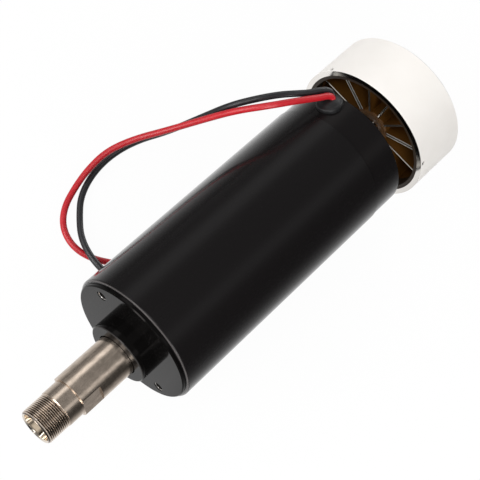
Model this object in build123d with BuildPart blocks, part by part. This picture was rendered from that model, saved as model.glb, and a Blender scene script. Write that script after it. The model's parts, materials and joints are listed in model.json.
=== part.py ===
"""Air-cooled direct-current motor spindle with an ER11 collet nose.

The spindle lies along Y with its nose towards -Y and +Z up. The origin is on the spindle axis, half-way
along the can, which is the cylinder that a clamp bracket grips. Every station below is a distance along Y.
Angles round the axis are clock angles: zero at the top (+Z), growing towards +X.
"""

import os
from math import cos, pi, radians, sin, tan

from build123d import *

os.makedirs("parts", exist_ok=True)

# ---------------------------------------------------------------- driving sizes, millimetres and degrees
RUNNING = 0.05  # radial clearance of a shaft or ball that turns in its seat
SEAT = 0.02  # radial clearance of a piece that is pressed, glued or screwed into its seat
JOIN = 0.1  # how far two bodies of one piece run into each other, so that they fuse

can_diameter = 52.0
can_wall = 2.0
can_length = 102.2
can_edge_round = 1.0

flange_diameter = 49.8
flange_proud = 1.4
flange_edge = 0.4
spigot_length = 10.8
boss_diameter = 24.7
boss_length = 6.5
boss_edge = 0.4
arbor_gap = 0.4
face_hole_circle = 41.4
face_hole_drill = 3.3
face_hole_depth = 8.0
face_hole_sink = 0.45
face_hole_clock = -61.2
face_hole_count = 2

arbor_diameter = 16.0
arbor_neck_diameter = 14.24
thread_diameter = 13.9
thread_length = 8.9
nose_edge = 0.7
neck_length = 6.3
arbor_edge = 0.35
arbor_reach = 37.8
flat_width = 14.0
flat_length = 7.9
flat_clock = 58.5
socket_mouth_diameter = 11.5
socket_half_angle = 8.0
socket_depth = 14.0
socket_lip = 0.45
tool_bore_diameter = 7.2
tool_bore_length = 12.0
shaft_socket_depth = 15.0

bearing_float = 0.6
front_bearing_bore = 10.0
front_bearing_outer = 26.0
front_bearing_width = 8.0
front_ball_diameter = 4.76
rear_bearing_bore = 8.0
rear_bearing_outer = 22.0
rear_bearing_width = 7.0
rear_ball_diameter = 3.97
ball_count = 7
race_share = 0.3
cage_wall = 1.1
cage_width = 1.24  # as a share of the ball's diameter
washer_wall = 2.2
clip_width = 1.2
clip_wall = 2.4
clip_groove = 0.6
clip_opening = 50.0
clip_land = 0.4

shaft_nose_diameter = 8.0
shaft_collar_diameter = 12.8
shaft_core_diameter = 11.0
shaft_collar_length = 5.0
shaft_shoulder = 1.0
shaft_bottom_gap = 0.3

rear_bell_length = 13.4
rear_bell_step = 0.3
rear_bell_edge = 0.4
rear_spigot_length = 5.5
rear_cavity_diameter = 39.0
rear_wall = 4.0
rear_neck_diameter = 27.0
rear_neck_length = 3.5
rear_race_lip = 2.0

air_gap = 0.7
magnet_thickness = 4.0
magnet_length = 60.0
magnet_span = 128.0
stack_length = 56.0
stack_from_collar = 11.0
slot_count = 12
slot_mouth = 1.6
slot_floor_diameter = 20.0
tooth_tip = 1.5
tooth_width = 2.6
slot_liner = 0.2
end_turn_length = 9.0
end_turn_inner_diameter = 13.0
end_turn_round = 3.0

commutator_diameter = 22.0
commutator_overrun = 0.6
commutator_gap = 2.0
riser_diameter = 24.4
riser_length = 2.0
bar_count = 24
bar_slit = 0.6
bar_slit_depth = 0.9
insulator_wall = 1.7

brush_width = 5.0
brush_thickness = 4.5
brush_length = 4.6
brush_touch = 0.05
brush_clearance = 0.12
holder_wall = 0.7
plate_inset = 2.0
holder_cap = 0.6
holder_gap = 0.8
holder_clearance = 0.4
brush_plate_thickness = 2.0
plate_bore_clearance = 1.2
spring_coils = 4
spring_diameter = 3.2
spring_wire = 0.5
spring_waist = 0.175  # how far the sleeve between the coils is set in

tie_bolt_diameter = 4.0
tie_bolt_circle = 42.8
tie_head_diameter = 7.0
tie_head_height = 4.0
tie_hex_key = 3.0
tie_engagement = 6.0
tie_bolt_clearance = 0.15
tie_head_clearance = 0.2
tie_head_sunk = 0.3
tie_hex_depth = 2.1
tie_hole_run_out = 1.0
tie_bolt_count = 2
tie_bolt_clock = 90.0

fan_gap = 9.4
ring_diameter = 57.3
ring_wall = 2.0
ring_length = 23.9
ring_edge = 0.5
hoop_wall = 1.4
hoop_setback = 0.2
blade_count = 12
blade_setback = 5.5
blade_depth = 9.0
blade_thickness = 0.9
thick_blade = 1.7
blade_clock = -3.4
fan_back_thickness = 2.0
fan_hub_diameter = 15.2
hub_edge = 0.6
ring_screw_count = 3
ring_screw_diameter = 1.6
ring_screw_setback = 1.5
ring_screw_sunk = 0.4
spacer_diameter = 11.0
nut_width = 13.0
nut_height = 5.0
fan_washer_diameter = 15.0
fan_washer_thickness = 1.2
shaft_thread_past_nut = 0.8

grommet_clock = -38.0
grommet_setback = 5.3
grommet_hole_diameter = 7.0
grommet_flange_diameter = 10.2
grommet_rise = 1.5
grommet_round = 1.1
grommet_inside = 1.5
grommet_bite = 2.0
lead_diameter = 2.5
lead_slack = 0.05
lead_pitch = 2.8
lead_pair_turn = 50.0
bare_end_length = 7.0
bare_end_diameter = 1.4

# ---------------------------------------------------------------- radii and stations that follow from them
can_radius = can_diameter / 2
can_bore = can_radius - can_wall
can_front = -can_length / 2
can_rear = can_length / 2

flange_face = can_front - flange_proud
boss_face = flange_face - boss_length
arbor_radius = arbor_diameter / 2
boss_bore = arbor_radius + arbor_gap
spigot_radius = can_bore - SEAT
spigot_end = can_front + spigot_length

front_race = front_bearing_outer / 2 + SEAT
front_bearing_start = spigot_end - clip_land - clip_width - front_bearing_width
front_bearing_end = front_bearing_start + front_bearing_width
pocket_floor = front_bearing_start - bearing_float

nose_end = boss_face - arbor_reach
thread_end = nose_end + nose_edge + thread_length
arbor_step = thread_end + neck_length
arbor_end = front_bearing_start
tool_bore_start = nose_end + socket_depth
tool_bore_end = tool_bore_start + tool_bore_length
socket_mouth = socket_mouth_diameter / 2
socket_throat = socket_mouth - socket_depth * tan(radians(socket_half_angle))
tool_bore = tool_bore_diameter / 2
shaft_socket_end = arbor_end - shaft_socket_depth

stack_start = front_bearing_end + shaft_collar_length + stack_from_collar
stack_end = stack_start + stack_length
magnet_start = (stack_start + stack_end - magnet_length) / 2
magnet_outer = can_bore - SEAT
magnet_inner = magnet_outer - magnet_thickness
stack_radius = magnet_inner - air_gap
core_radius = shaft_core_diameter / 2

commutator_start = stack_end + end_turn_length + commutator_gap
commutator_radius = commutator_diameter / 2

rear_face = can_rear + rear_bell_length
rear_bell_radius = can_radius - rear_bell_step
rear_cavity = rear_cavity_diameter / 2
rear_cavity_end = rear_face - rear_wall
neck_end = rear_face + rear_neck_length
rear_bearing_end = neck_end
rear_bearing_start = rear_bearing_end - rear_bearing_width

brush_plate_start = rear_cavity_end - brush_plate_thickness
brush_station = brush_plate_start - holder_wall - brush_clearance - brush_thickness / 2
commutator_end = brush_station + brush_thickness / 2 + commutator_overrun
commutator_length = commutator_end - commutator_start
holder_inner = commutator_radius + holder_gap
holder_outer = rear_cavity - holder_clearance
brush_inner = commutator_radius + brush_touch
brush_outer = brush_inner + brush_length

ring_front = rear_face + fan_gap
ring_rear = ring_front + ring_length
ring_radius = ring_diameter / 2
ring_bore = ring_radius - ring_wall
hoop_front = ring_front + hoop_setback
hoop_outer = ring_bore - SEAT
hoop_inner = hoop_outer - hoop_wall
blade_front = ring_front + blade_setback
blade_rear = blade_front + blade_depth
fan_back = blade_rear + fan_back_thickness
fan_hub = fan_hub_diameter / 2
shaft_rear_radius = rear_bearing_bore / 2
washer_end = fan_back + fan_washer_thickness
nut_end = washer_end + nut_height
shaft_end = nut_end + shaft_thread_past_nut
ring_screw_station = ring_front + ring_screw_setback
ring_screw_clock = blade_clock - 2 * 360 / blade_count

grommet_station = rear_face - grommet_setback


# ---------------------------------------------------------------- helpers
def turn(*outline, mode=Mode.ADD):
    """Turn a closed outline of (radius, station) points about the spindle axis."""
    with BuildSketch() as profile:
        with BuildLine():
            Polyline(*outline, close=True)
        make_face()
    revolve(profile.sketch, axis=Axis.Y, mode=mode)


def sleeve(inner, outer, start, end, mode=Mode.ADD):
    """Turn a plain ring between two radii and two stations."""
    turn((inner, start), (outer, start), (outer, end), (inner, end), mode=mode)


def across(station):
    """Plane square to the spindle axis, with local x along +X and local y along +Z, facing the nose."""
    return Plane.XZ.offset(-station)


def clock(radius, angle, station):
    """Point at a clock angle round the axis."""
    return Vector(radius * sin(radians(angle)), station, radius * cos(radians(angle)))


def outward(angle, station, radius=0.0):
    """Plane whose normal points away from the axis at a clock angle."""
    normal = clock(1, angle, 0)
    return Plane(origin=clock(radius, angle, station), x_dir=(0, 1, 0), z_dir=normal)


def clocks(radius, first, count):
    """Even pattern round the axis on a plane made by across, its first place at a clock angle."""
    return PolarLocations(radius, count, start_angle=90 - first, angular_range=360)


def finish(piece, label):
    """Name a finished piece and write it to its own file."""
    piece.part.label = label
    export_step(piece.part, f"parts/{label}.step")


# ---------------------------------------------------------------- housing
with BuildPart() as motor_can:
    sleeve(can_bore, can_radius, can_front, can_rear)
    front_rims = motor_can.edges().filter_by(GeomType.CIRCLE).group_by(Axis.Y)[0]
    fillet(front_rims.sort_by(SortBy.RADIUS)[-1], can_edge_round)
finish(motor_can, "motor_can")

with BuildPart() as front_end_bell:
    turn(
        (boss_bore, boss_face),
        (boss_diameter / 2, boss_face),
        (boss_diameter / 2, flange_face),
        (flange_diameter / 2, flange_face),
        (flange_diameter / 2, can_front),
        (spigot_radius, can_front),
        (spigot_radius, spigot_end),
        (front_race, spigot_end),
        (front_race, pocket_floor),
        (boss_bore, pocket_floor),
    )
    rims = front_end_bell.edges().filter_by(GeomType.CIRCLE)
    chamfer(rims.filter_by_position(Axis.Y, boss_face, boss_face).sort_by(SortBy.RADIUS)[-1], boss_edge)
    chamfer(rims.filter_by_position(Axis.Y, flange_face, flange_face).sort_by(SortBy.RADIUS)[-1], flange_edge)
    groove_start = front_bearing_end
    sleeve(
        front_race - clip_groove,
        front_race + clip_groove,
        groove_start,
        groove_start + clip_width,
        mode=Mode.SUBTRACT,
    )
    with BuildSketch(across(flange_face)):
        with clocks(face_hole_circle / 2, face_hole_clock, face_hole_count):
            Circle(face_hole_drill / 2)
    extrude(amount=-face_hole_depth, mode=Mode.SUBTRACT)
    mouths = front_end_bell.edges().filter_by(GeomType.CIRCLE)
    mouths = mouths.filter_by_position(Axis.Y, flange_face, flange_face).group_by(SortBy.RADIUS)[0]
    chamfer(mouths, face_hole_sink)
    with BuildSketch(across(spigot_end)):
        with clocks(tie_bolt_circle / 2, tie_bolt_clock, tie_bolt_count):
            Circle(tie_bolt_diameter / 2 + SEAT)
    extrude(amount=tie_engagement + tie_hole_run_out, mode=Mode.SUBTRACT)
finish(front_end_bell, "front_end_bell")

with BuildPart() as rear_end_bell:
    turn(
        (rear_cavity, can_rear - rear_spigot_length),
        (spigot_radius, can_rear - rear_spigot_length),
        (spigot_radius, can_rear),
        (rear_bell_radius, can_rear),
        (rear_bell_radius, rear_face),
        (rear_neck_diameter / 2, rear_face),
        (rear_neck_diameter / 2, neck_end),
        (rear_bearing_outer / 2 + SEAT, neck_end),
        (rear_bearing_outer / 2 + SEAT, rear_bearing_start),
        (rear_bearing_outer / 2 - rear_race_lip, rear_bearing_start),
        (rear_bearing_outer / 2 - rear_race_lip, rear_cavity_end),
        (rear_cavity, rear_cavity_end),
    )
    rims = rear_end_bell.edges().filter_by(GeomType.CIRCLE).filter_by_position(Axis.Y, rear_face, rear_face)
    chamfer(rims.sort_by(SortBy.RADIUS)[-1], rear_bell_edge)
    with BuildSketch(across(rear_face)):
        with clocks(tie_bolt_circle / 2, tie_bolt_clock, tie_bolt_count):
            Circle(tie_bolt_diameter / 2 + tie_bolt_clearance)
    extrude(amount=rear_bell_length + rear_spigot_length, mode=Mode.SUBTRACT)
    with BuildSketch(across(rear_face)):
        with clocks(tie_bolt_circle / 2, tie_bolt_clock, tie_bolt_count):
            Circle(tie_head_diameter / 2 + tie_head_clearance)
    extrude(amount=tie_head_height, mode=Mode.SUBTRACT)
    with BuildSketch(outward(grommet_clock, grommet_station, rear_cavity - grommet_inside)):
        Circle(grommet_hole_diameter / 2)
    extrude(amount=can_radius, mode=Mode.SUBTRACT)
finish(rear_end_bell, "rear_end_bell")

with BuildPart() as tie_bolts:
    bolt_start = spigot_end - tie_engagement
    head_start = rear_face - tie_head_height
    with BuildSketch(across(bolt_start)):
        with clocks(tie_bolt_circle / 2, tie_bolt_clock, tie_bolt_count):
            Circle(tie_bolt_diameter / 2)
    extrude(amount=-(head_start - bolt_start))
    with BuildSketch(across(head_start)):
        with clocks(tie_bolt_circle / 2, tie_bolt_clock, tie_bolt_count):
            Circle(tie_head_diameter / 2)
    extrude(amount=-(tie_head_height - tie_head_sunk))
    with BuildSketch(across(rear_face - tie_head_sunk)):
        with clocks(tie_bolt_circle / 2, tie_bolt_clock, tie_bolt_count):
            RegularPolygon(tie_hex_key / 2, 6, major_radius=False)
    extrude(amount=tie_hex_depth, mode=Mode.SUBTRACT)
finish(tie_bolts, "tie_bolts")

with BuildPart() as field_magnets:
    for pole in (0, 180):
        with BuildSketch(across(magnet_start)):
            with BuildLine():
                first = 90 - pole - magnet_span / 2
                outer_arc = CenterArc((0, 0), magnet_outer, first, magnet_span)
                inner_arc = CenterArc((0, 0), magnet_inner, first, magnet_span)
                Line(outer_arc @ 0, inner_arc @ 0)
                Line(outer_arc @ 1, inner_arc @ 1)
            make_face()
        extrude(amount=-magnet_length)
finish(field_magnets, "field_magnets")


# ---------------------------------------------------------------- bearings
def bearing(bore, outer, width, ball, start, inner_name, outer_name, balls_name, cage_name):
    """Write a deep-groove ball bearing as two rings, a ball set and a cage."""
    middle = start + width / 2
    pitch = (bore + outer) / 4
    shoulder = (outer - bore) / 2 * race_share
    groove = ball / 2 + RUNNING
    with BuildPart() as inner_ring:
        sleeve(bore / 2, bore / 2 + shoulder, start, start + width)
        with BuildSketch():
            with Locations((pitch, middle)):
                Circle(groove)
        revolve(axis=Axis.Y, mode=Mode.SUBTRACT)
    finish(inner_ring, inner_name)
    with BuildPart() as outer_ring:
        sleeve(outer / 2 - shoulder, outer / 2, start, start + width)
        with BuildSketch():
            with Locations((pitch, middle)):
                Circle(groove)
        revolve(axis=Axis.Y, mode=Mode.SUBTRACT)
    finish(outer_ring, outer_name)
    with BuildPart() as balls:
        for step in range(ball_count):
            with Locations(clock(pitch, step * 360 / ball_count, middle)):
                Sphere(ball / 2)
    finish(balls, balls_name)
    with BuildPart() as cage:
        reach = cage_width * ball / 2
        sleeve(pitch - cage_wall / 2, pitch + cage_wall / 2, middle - reach, middle + reach)
        for step in range(ball_count):
            with BuildSketch(outward(step * 360 / ball_count, middle)):
                Circle(ball / 2 + 2 * RUNNING)
            extrude(amount=pitch + cage_wall, mode=Mode.SUBTRACT)
    finish(cage, cage_name)


bearing(
    front_bearing_bore,
    front_bearing_outer,
    front_bearing_width,
    front_ball_diameter,
    front_bearing_start,
    "front_bearing_inner_ring",
    "front_bearing_outer_ring",
    "front_bearing_balls",
    "front_bearing_cage",
)
bearing(
    rear_bearing_bore,
    rear_bearing_outer,
    rear_bearing_width,
    rear_ball_diameter,
    rear_bearing_start,
    "rear_bearing_inner_ring",
    "rear_bearing_outer_ring",
    "rear_bearing_balls",
    "rear_bearing_cage",
)

with BuildPart() as preload_washer:
    sleeve(front_race - washer_wall, front_race - SEAT, pocket_floor, front_bearing_start)
finish(preload_washer, "preload_washer")

with BuildPart() as retaining_ring:
    clip_outer = front_race + clip_groove - SEAT
    sleeve(clip_outer - clip_wall, clip_outer, front_bearing_end, front_bearing_end + clip_width)
    with BuildSketch(across(front_bearing_end)):
        with BuildLine():
            edge = Line((0, 0), (2 * clip_outer * sin(radians(clip_opening / 2)), -2 * clip_outer))
            Line((0, 0), (-2 * clip_outer * sin(radians(clip_opening / 2)), -2 * clip_outer))
            Line(edge @ 1, (-(edge @ 1).X, (edge @ 1).Y))
        make_face()
    extrude(amount=-clip_width, mode=Mode.SUBTRACT)
finish(retaining_ring, "retaining_ring")

# ---------------------------------------------------------------- rotor: arbor, shaft and winding
with BuildPart() as chuck_arbor:
    turn(
        (socket_mouth + socket_lip, nose_end),
        (thread_diameter / 2 - nose_edge, nose_end),
        (thread_diameter / 2, nose_end + nose_edge),
        (thread_diameter / 2, thread_end),
        (arbor_neck_diameter / 2, thread_end),
        (arbor_neck_diameter / 2, arbor_step),
        (arbor_radius - arbor_edge, arbor_step),
        (arbor_radius, arbor_step + arbor_edge),
        (arbor_radius, arbor_end),
        (shaft_nose_diameter / 2, arbor_end),
        (shaft_nose_diameter / 2, shaft_socket_end),
        (0, shaft_socket_end),
        (0, tool_bore_end),
        (tool_bore, tool_bore_end),
        (tool_bore, tool_bore_start),
        (socket_throat, tool_bore_start),
        (socket_mouth, nose_end + socket_lip),
    )
    with BuildSketch(across(arbor_step + flat_length)):
        Circle(arbor_diameter)
        Rectangle(2.5 * arbor_diameter, flat_width, rotation=-flat_clock, mode=Mode.SUBTRACT)
    extrude(amount=flat_length, mode=Mode.SUBTRACT)
finish(chuck_arbor, "chuck_arbor")

with BuildPart() as armature_shaft:
    turn(
        (0, shaft_socket_end + shaft_bottom_gap),
        (shaft_nose_diameter / 2 - SEAT, shaft_socket_end + shaft_bottom_gap),
        (shaft_nose_diameter / 2 - SEAT, arbor_end),
        (front_bearing_bore / 2 - SEAT, front_bearing_start),
        (front_bearing_bore / 2 - SEAT, front_bearing_end),
        (shaft_collar_diameter / 2, front_bearing_end),
        (shaft_collar_diameter / 2, front_bearing_end + shaft_collar_length),
        (core_radius, front_bearing_end + shaft_collar_length),
        (core_radius, commutator_end),
        (shaft_rear_radius + shaft_shoulder, commutator_end),
        (shaft_rear_radius + shaft_shoulder, rear_bearing_start),
        (shaft_rear_radius - SEAT, rear_bearing_start),
        (shaft_rear_radius - SEAT, shaft_end),
        (0, shaft_end),
    )
finish(armature_shaft, "armature_shaft")

slot_floor = slot_floor_diameter / 2
slot_top = stack_radius - tooth_tip
slot_pitch = 360 / slot_count


def slot_outline(clear):
    """Face of one winding slot at the top of the stack, its sides parallel to the teeth, shrunk by clear."""
    half_low = slot_floor * tan(radians(slot_pitch / 2)) - tooth_width / 2 - clear
    half_high = slot_top * tan(radians(slot_pitch / 2)) - tooth_width / 2 - clear
    Polygon(
        (slot_floor + clear, -half_low),
        (slot_top - clear, -half_high),
        (slot_top - clear, half_high),
        (slot_floor + clear, half_low),
        align=None,
    )


with BuildPart() as lamination_stack:
    sleeve(core_radius + SEAT, stack_radius, stack_start, stack_end)
    with BuildSketch(across(stack_start)):
        with clocks(0, 0, slot_count):
            slot_outline(0)
        with clocks(stack_radius, 0, slot_count):
            Rectangle(4 * tooth_tip, slot_mouth)
    extrude(amount=-stack_length, mode=Mode.SUBTRACT)
finish(lamination_stack, "lamination_stack")

with BuildPart() as armature_windings:
    for end_start in (stack_start - end_turn_length, stack_end + slot_liner):
        end_length = end_turn_length - slot_liner
        with BuildSketch():
            with Locations(((end_turn_inner_diameter / 2 + slot_top) / 2, end_start + end_length / 2)):
                RectangleRounded(slot_top - end_turn_inner_diameter / 2, end_length, end_turn_round)
        revolve(axis=Axis.Y)
    with BuildSketch(across(stack_start - 2 * slot_liner - end_turn_round)):
        with clocks(0, 0, slot_count):
            slot_outline(slot_liner)
    extrude(amount=-(stack_length + 4 * slot_liner + 2 * end_turn_round))
finish(armature_windings, "armature_windings")

with BuildPart() as commutator_insulator:
    sleeve(core_radius + SEAT, core_radius + insulator_wall, commutator_start, commutator_end)
finish(commutator_insulator, "commutator_insulator")

with BuildPart() as commutator:
    turn(
        (core_radius + insulator_wall + SEAT, commutator_start),
        (riser_diameter / 2, commutator_start),
        (riser_diameter / 2, commutator_start + riser_length),
        (commutator_radius, commutator_start + riser_length),
        (commutator_radius, commutator_end),
        (core_radius + insulator_wall + SEAT, commutator_end),
    )
    with BuildSketch(across(commutator_start)):
        with clocks(commutator_radius + riser_diameter / 2 - bar_slit_depth, 0, bar_count):
            Rectangle(riser_diameter, bar_slit)
    extrude(amount=-commutator_length, mode=Mode.SUBTRACT)
finish(commutator, "commutator")

# ---------------------------------------------------------------- brush gear
with BuildPart() as brush_plate:
    sleeve(commutator_radius + plate_bore_clearance, rear_cavity - plate_inset, brush_plate_start, rear_cavity_end)
finish(brush_plate, "brush_plate")

holder_height = holder_outer - holder_inner


def brush_gear(side, clock_angle):
    """Write one brush with its box holder and spring, standing at a clock angle."""
    foot = outward(clock_angle, brush_station, holder_inner)
    with BuildPart() as holder:
        with BuildSketch(foot):
            Rectangle(
                brush_thickness + 2 * brush_clearance + 2 * holder_wall,
                brush_width + 2 * brush_clearance + 2 * holder_wall,
            )
        extrude(amount=holder_height)
        with BuildSketch(foot):
            Rectangle(brush_thickness + 2 * brush_clearance, brush_width + 2 * brush_clearance)
        extrude(amount=holder_height - holder_cap, mode=Mode.SUBTRACT)
    finish(holder, f"brush_holder_{side}")
    with BuildPart() as brush:
        with BuildSketch(outward(clock_angle, brush_station)):
            Rectangle(brush_thickness, brush_width)
        extrude(amount=brush_outer)
        sleeve(0, brush_inner, brush_station - brush_length, brush_station + brush_length, mode=Mode.SUBTRACT)
    finish(brush, f"brush_{side}")
    with BuildPart() as spring:
        length = holder_outer - holder_cap - brush_outer
        pitch = length / spring_coils
        coil_plane = outward(clock_angle, brush_station, brush_outer)
        with BuildSketch(coil_plane):
            Circle(spring_diameter / 2 - spring_waist)
            Circle(spring_diameter / 2 - spring_wire, mode=Mode.SUBTRACT)
        extrude(amount=length)
        for turn_number in range(spring_coils):
            with BuildSketch(coil_plane.offset((turn_number + 0.5) * pitch - spring_wire / 2)):
                Circle(spring_diameter / 2)
                Circle(spring_diameter / 2 - spring_wire, mode=Mode.SUBTRACT)
            extrude(amount=spring_wire)
    finish(spring, f"brush_spring_{side}")


brush_gear("upper", 0)
brush_gear("lower", 180)

# ---------------------------------------------------------------- cooling fan
with BuildPart() as fan_impeller:
    sleeve(hoop_inner, hoop_outer, hoop_front, fan_back)
    sleeve(shaft_rear_radius + SEAT, hoop_inner + JOIN, blade_rear, fan_back)
    turn(
        (shaft_rear_radius + SEAT, blade_front),
        (fan_hub - hub_edge, blade_front),
        (fan_hub, blade_front + hub_edge),
        (fan_hub, blade_rear + JOIN),
        (shaft_rear_radius + SEAT, blade_rear + JOIN),
    )
    blade_span = hoop_inner - fan_hub + 2 * JOIN
    with BuildSketch(across(blade_front)):
        with clocks(fan_hub - JOIN + blade_span / 2, blade_clock, blade_count):
            Rectangle(blade_span, blade_thickness)
        with clocks(fan_hub - JOIN + blade_span / 2, ring_screw_clock, ring_screw_count):
            Rectangle(blade_span, thick_blade)
    extrude(amount=-(blade_depth + JOIN))
    for number in range(ring_screw_count):
        angle = ring_screw_clock + number * 360 / ring_screw_count
        with BuildSketch(outward(angle, ring_screw_station, hoop_inner - hoop_wall)):
            Circle(ring_screw_diameter / 2 + SEAT)
        extrude(amount=3 * hoop_wall, mode=Mode.SUBTRACT)
finish(fan_impeller, "fan_impeller")

with BuildPart() as fan_ring:
    sleeve(ring_bore, ring_radius, ring_front, ring_rear)
    chamfer(fan_ring.edges().filter_by(GeomType.CIRCLE).sort_by(Axis.Y)[-2:], ring_edge)
    for number in range(ring_screw_count):
        angle = ring_screw_clock + number * 360 / ring_screw_count
        with BuildSketch(outward(angle, ring_screw_station, ring_bore - ring_wall)):
            Circle(ring_screw_diameter / 2 + SEAT)
        extrude(amount=3 * ring_wall, mode=Mode.SUBTRACT)
finish(fan_ring, "fan_ring")

with BuildPart() as ring_screws:
    for number in range(ring_screw_count):
        angle = ring_screw_clock + number * 360 / ring_screw_count
        with BuildSketch(outward(angle, ring_screw_station, hoop_inner)):
            Circle(ring_screw_diameter / 2)
        extrude(amount=ring_radius - ring_screw_sunk - hoop_inner)
finish(ring_screws, "ring_screws")

with BuildPart() as fan_spacer:
    sleeve(shaft_rear_radius + SEAT, spacer_diameter / 2, rear_bearing_end, blade_front)
finish(fan_spacer, "fan_spacer")

with BuildPart() as fan_washer:
    sleeve(shaft_rear_radius + SEAT, fan_washer_diameter / 2, fan_back, washer_end)
finish(fan_washer, "fan_washer")

with BuildPart() as fan_nut:
    with BuildSketch(across(washer_end)):
        RegularPolygon(nut_width / 2, 6, major_radius=False)
        Circle(shaft_rear_radius + SEAT, mode=Mode.SUBTRACT)
    extrude(amount=-nut_height)
finish(fan_nut, "fan_nut")

# ---------------------------------------------------------------- cable outlet and leads
grommet_plane = outward(grommet_clock, grommet_station)
pair_along = lead_pitch / 2 * cos(radians(lead_pair_turn))
pair_across = lead_pitch / 2 * sin(radians(lead_pair_turn))

with BuildPart() as lead_grommet:
    with BuildSketch(grommet_plane.offset(rear_cavity - grommet_inside)):
        Circle(grommet_hole_diameter / 2 - SEAT)
    extrude(amount=rear_bell_radius - rear_cavity + grommet_inside)
    with BuildSketch(grommet_plane.offset(rear_bell_radius - grommet_bite)):
        Circle(grommet_flange_diameter / 2)
    extrude(amount=grommet_bite + grommet_rise)
    fillet(lead_grommet.faces().sort_by(Axis(grommet_plane.origin, grommet_plane.z_dir))[-1].edges(), grommet_round)
    with BuildSketch(grommet_plane.offset(rear_cavity - grommet_inside)):
        with Locations((pair_along, pair_across), (-pair_along, -pair_across)):
            Circle(lead_diameter / 2 + lead_slack)
    extrude(amount=rear_bell_radius, mode=Mode.SUBTRACT)
    with BuildSketch(Plane.XZ.offset(-(grommet_station - grommet_flange_diameter))):
        Circle(rear_bell_radius)
        Circle(rear_cavity, mode=Mode.SUBTRACT)
    extrude(amount=-2 * grommet_flange_diameter, mode=Mode.SUBTRACT)
    with BuildSketch(grommet_plane.offset(rear_cavity - grommet_inside)):
        Circle(grommet_hole_diameter / 2 - SEAT)
        with Locations((pair_along, pair_across), (-pair_along, -pair_across)):
            Circle(lead_diameter / 2 + lead_slack, mode=Mode.SUBTRACT)
    extrude(amount=rear_bell_radius - rear_cavity + grommet_inside)
finish(lead_grommet, "lead_grommet")

grommet_top = rear_bell_radius + grommet_rise
table = lead_diameter / 2 - ring_radius


def leaving(along, aside, radius):
    """Point on the way out through the grommet, beside its centre line."""
    spot = grommet_plane.offset(radius).from_local_coords(Vector(along, aside, 0))
    return (spot.X, spot.Y, spot.Z)


red_route = [
    leaving(-pair_along, -pair_across, rear_cavity),
    leaving(-pair_along, -pair_across, grommet_top + 1.3),
    (-18.4, 57.6, 23.7),
    (-19.9, 55.8, 23.8),
    (-21.9, 52.0, 24.2),
    (-25.7, 44.6, 24.6),
    (-29.9, 37.4, 23.4),
    (-36.7, 30.3, 16.0),
    (-42.8, 24.0, 5.0),
    (-49.3, 15.9, -6.0),
    (-55.9, 7.2, -15.0),
    (-59.5, -1.7, -21.0),
    (-59.1, -10.6, -24.8),
    (-57.2, -18.5, -27.1),
    (-54.0, -27.0, table),
    (-48.6, -32.9, table),
    (-41.0, -35.0, table),
    (-33.3, -33.0, table),
    (-25.5, -27.0, table),
    (-18.5, -20.0, table),
    (-14.4, -9.5, table),
    (-13.3, 4.0, table),
    (-12.4, 20.0, table),
    (-13.2, 36.0, table),
    (-12.6, 52.0, table),
]
black_route = [
    leaving(pair_along, pair_across, rear_cavity),
    leaving(pair_along, pair_across, grommet_top + 1.7),
    (-20.1, 59.6, 22.9),
    (-22.0, 57.7, 22.8),
    (-23.8, 54.6, 22.6),
    (-26.2, 51.4, 22.0),
    (-30.4, 46.2, 20.5),
    (-34.6, 38.6, 19.6),
    (-39.6, 31.5, 14.0),
    (-44.1, 26.4, 1.5),
    (-49.5, 18.3, -11.5),
    (-55.4, 10.4, -20.5),
    (-58.0, 1.0, -26.1),
    (-57.1, -9.5, table),
    (-53.3, -19.2, table),
    (-47.3, -25.4, table),
    (-41.2, -30.6, -26.1),
    (-33.5, -33.5, -24.35),
    (-25.5, -33.6, -24.4),
    (-16.5, -31.2, -26.3),
    (-9.8, -24.5, table),
    (-8.2, -13.0, table),
    (-9.0, 2.0, table),
    (-8.0, 18.0, table),
    (-8.9, 34.0, table),
    (-8.1, 50.0, table),
]


def bend_radii(route):
    """Largest arc that the two runs beside each inner point of a route leave room for."""
    radii = []
    for before, here, after in zip(route, route[1:], route[2:]):
        first = Vector(*here) - Vector(*before)
        second = Vector(*after) - Vector(*here)
        half_turn = radians(first.get_angle(second) / 2)
        radii.append(0.45 * min(first.length, second.length) / tan(half_turn))
    return radii


def lead(route, colour):
    """Write one insulated lead along its route, and the bared strands at its free end."""
    radii = bend_radii(route)
    with BuildPart() as insulation:
        with BuildLine() as path:
            FilletPolyline(*route, radius=radii)
        with BuildSketch(Plane(origin=path.line @ 0, z_dir=path.line % 0)):
            Circle(lead_diameter / 2)
        sweep()
    finish(insulation, f"{colour}_lead")
    length = sum(edge.length for edge in path.edges())
    section = pi * lead_diameter**2 / 4
    print(colour, "lead length", round(length, 1), "bend radii", [round(r, 1) for r in radii])
    print(colour, "lead volume over section times length", round(insulation.part.volume / section / length, 4))
    with BuildPart() as bare_end:
        with BuildSketch(Plane(origin=path.line @ 1, z_dir=path.line % 1)):
            Circle(bare_end_diameter / 2)
        extrude(amount=bare_end_length)
    finish(bare_end, f"{colour}_bare_end")


lead(red_route, "red")
lead(black_route, "black")
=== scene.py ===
"""Looks of a direct-current motor spindle: a threaded collet nose, a lacquered can, a ringed fan and two leads.

The spindle lies along Y with its nose towards -Y and +Z up, and the origin is half-way along the can. Sizes
in this file are millimetres, and turn into metres where a mesh is made. A station is a place along Y. Clock
angles round the spindle axis start at the top (+Z) and grow towards +X.
"""

import json

import bmesh
import bpy
import numpy as np
from mathutils import Matrix, Vector


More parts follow.
